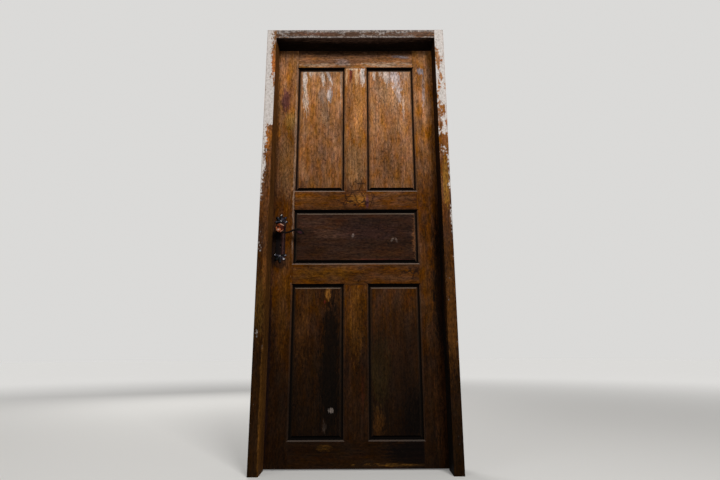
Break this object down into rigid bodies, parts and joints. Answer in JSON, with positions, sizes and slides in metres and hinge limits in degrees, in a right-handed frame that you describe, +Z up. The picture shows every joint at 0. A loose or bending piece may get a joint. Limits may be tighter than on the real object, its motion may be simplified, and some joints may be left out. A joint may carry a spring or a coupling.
{
  "type": "panelled door with frame",
  "caption": "Flat-topped panelled wooden door hung on inside hinges in a rebated wooden frame, with scrolled lever handles on leafy plates and a mortice lock.",
  "frame": {"origin": "middle of the doorway's width, on the sill, in the plane of the frame's outside face", "axes": "+X to the right seen from outside, +Y into the building, +Z up"},
  "size_m": [0.89, 0.2145, 2.09],
  "materials": {
    "frame_wood": "weathered paint and varnish over wood",
    "leaf_wood": "worn satin varnish",
    "panel_wood": "worn satin varnish",
    "joint_wood": "bare wood",
    "handle_iron": "blackened, rusted at the boss",
    "plate_iron": "blackened with rubbed high spots",
    "hinge_steel": "dull, tarnished",
    "lock_steel": "dull",
    "screw_steel": "dull"
  },
  "bodies": {
    "frame": {"jamb_left": "frame_wood", "jamb_right": "frame_wood", "head": "frame_wood", "head_pegs": "joint_wood", "strike_plate": "lock_steel", "strike_screws": "screw_steel", "hinge_lower_frame_flap": "hinge_steel", "hinge_middle_frame_flap": "hinge_steel", "hinge_upper_frame_flap": "hinge_steel", "hinge_lower_pin": "hinge_steel", "hinge_middle_pin": "hinge_steel", "hinge_upper_pin": "hinge_steel", "hinge_frame_screws": "screw_steel"},
    "leaf": {"stile_left": "leaf_wood", "stile_right": "leaf_wood", "top_rail": "leaf_wood", "upper_cross_rail": "leaf_wood", "lower_cross_rail": "leaf_wood", "bottom_rail": "leaf_wood", "upper_muntin": "leaf_wood", "lower_muntin": "leaf_wood", "panel_upper_left": "panel_wood", "panel_upper_right": "panel_wood", "panel_middle": "panel_wood", "panel_lower_left": "panel_wood", "panel_lower_right": "panel_wood", "tenon_wedges": "joint_wood", "hinge_lower_leaf_flap": "hinge_steel", "hinge_middle_leaf_flap": "hinge_steel", "hinge_upper_leaf_flap": "hinge_steel", "hinge_leaf_screws": "screw_steel", "lock_case": "lock_steel", "lock_cover": "lock_steel", "lock_forend": "lock_steel", "forend_screws": "screw_steel", "lock_spring": "lock_steel", "plate_outside": "plate_iron", "plate_inside": "plate_iron", "plate_screws": "screw_steel"},
    "handle": {"lever_outside": "handle_iron", "lever_inside": "handle_iron", "spindle": "lock_steel", "follower": "lock_steel", "grub_screws": "screw_steel"},
    "latch": {"latch_bolt": "lock_steel"},
    "deadbolt": {"deadbolt": "lock_steel"}
  },
  "joints": [
    {"name": "leaf_swing", "type": "hinge", "parent": "frame", "child": "leaf", "pos_m": [0.4105, 0.1573, 1.03], "axis": [0, 0, -1], "range_deg": [0, 100]},
    {"name": "handle_turn", "type": "hinge", "parent": "leaf", "child": "handle", "pos_m": [-0.359, 0.131, 1.065], "axis": [0, 1, 0], "range_deg": [0, 35], "stiffness_Nm_per_rad": 1.5, "springref_deg": -34.38},
    {"name": "latch_slide", "type": "slide", "parent": "leaf", "child": "latch", "axis": [1, 0, 0], "range_m": [0, 0.0125], "deforming": ["lock_spring"]},
    {"name": "deadbolt_slide", "type": "slide", "parent": "leaf", "child": "deadbolt", "axis": [-1, 0, 0], "range_m": [0, 0.014]}
  ],
  "couplings": [
    {"joint": "latch_slide", "follows": "handle_turn", "m_per_rad": 0.02046}
  ]
}
